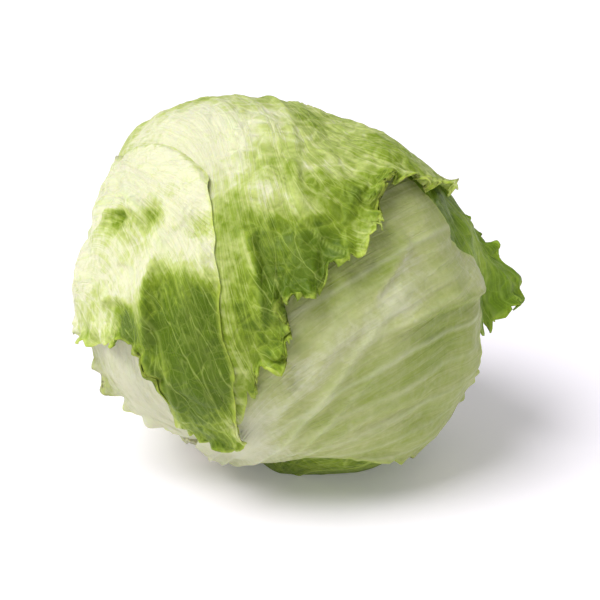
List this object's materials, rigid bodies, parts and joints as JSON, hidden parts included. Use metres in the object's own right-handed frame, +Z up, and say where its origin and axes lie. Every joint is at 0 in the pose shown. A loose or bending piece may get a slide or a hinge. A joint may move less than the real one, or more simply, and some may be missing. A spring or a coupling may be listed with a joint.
{
  "type": "head of lettuce",
  "caption": "Round head of crisp lettuce with a cut stem, a dense heart, pale ribbed wrapper leaves and frilly green outer leaves.",
  "frame": {"origin": "on the surface the head rests on, in the flat spot under its bottom leaf, below the head's centre", "axes": "+Z up from the surface it rests on; -Y towards the side with the overlapping leaf margins; the cut stem is low on the -X side"},
  "size_m": [0.1916, 0.1755, 0.1608],
  "materials": {
    "stem": "satin",
    "inner_leaf": "satin",
    "pale_leaf": "satin",
    "green_leaf": "satin"
  },
  "bodies": {
    "root": {"stem": "stem", "heart": "inner_leaf", "back_right_leaf": "pale_leaf", "back_left_leaf": "pale_leaf", "flared_leaf": "green_leaf", "bottom_leaf": "green_leaf", "left_leaf": "pale_leaf", "right_leaf": "pale_leaf", "cap_leaf": "green_leaf", "drape_leaf": "green_leaf"}
  },
  "joints": []
}
